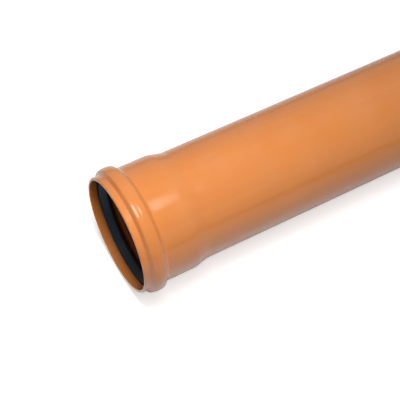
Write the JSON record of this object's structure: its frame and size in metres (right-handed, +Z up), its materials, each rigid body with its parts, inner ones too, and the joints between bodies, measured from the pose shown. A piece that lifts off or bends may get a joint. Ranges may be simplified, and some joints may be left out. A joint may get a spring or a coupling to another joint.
{
  "type": "pvc sewer pipe",
  "caption": "Short length of smooth orange-brown plastic sewer pipe, plain spigot at one end, push-fit socket with a beaded seal groove and black rubber ring at the other.",
  "frame": {"origin": "middle of the box round the part, at floor level", "axes": "+X along the pipe from the socket's mouth to the spigot, +Z up; the axis itself slopes down by 1.28 degrees towards the spigot, because the pipe lies on its bead and its spigot's end"},
  "size_m": [0.5854, 0.1846, 0.1845],
  "materials": {
    "pvc": "smooth extruded PVC-U, orange-brown, semi-gloss",
    "seal_rubber": "moulded black rubber, satin"
  },
  "bodies": {
    "root": {"pipe": "pvc", "seal_ring": "seal_rubber"}
  },
  "joints": []
}
